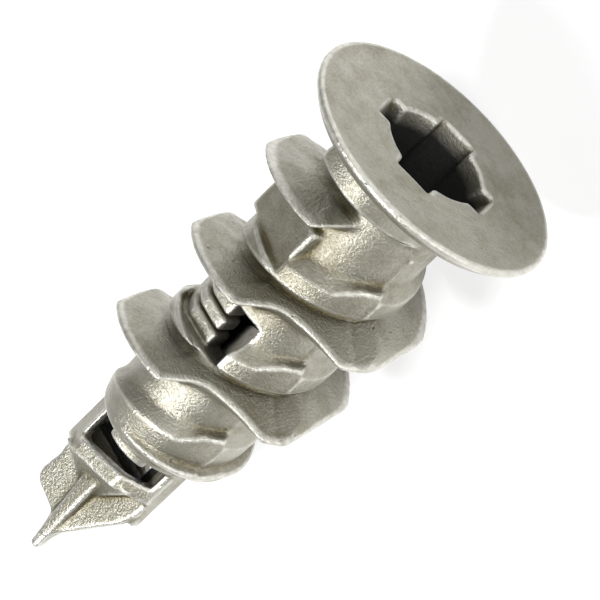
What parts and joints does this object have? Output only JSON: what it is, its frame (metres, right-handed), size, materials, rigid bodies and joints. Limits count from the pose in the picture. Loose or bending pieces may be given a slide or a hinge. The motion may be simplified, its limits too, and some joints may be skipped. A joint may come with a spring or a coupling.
{
  "type": "wall anchor",
  "caption": "Self-drilling cast metal wall anchor with a round head flange, a cross drive recess, a deep coarse thread, side windows and a flat spade point.",
  "frame": {"origin": "centre of the flange's seat, where its underside meets the wall", "axes": "+Y along the axis into the wall, towards the point; the head faces -Y; +Z is the way the front die half pulls, square to the blade"},
  "size_m": [0.015, 0.0338, 0.015],
  "materials": {
    "cast_zinc": "as-cast zinc alloy, satin, slightly warm grey"
  },
  "bodies": {
    "root": {"flange": "cast_zinc", "neck": "cast_zinc", "barrel": "cast_zinc", "deep_thread": "cast_zinc", "shallow_thread": "cast_zinc", "start_ramp": "cast_zinc", "number_pad": "cast_zinc", "front_screw_ribs": "cast_zinc", "rear_screw_ribs": "cast_zinc", "left_tip_post": "cast_zinc", "right_tip_post": "cast_zinc", "front_tip_strap": "cast_zinc", "rear_tip_strap": "cast_zinc", "tip_lug": "cast_zinc", "drill_blade": "cast_zinc", "front_blade_rib": "cast_zinc", "rear_blade_rib": "cast_zinc"}
  },
  "joints": []
}
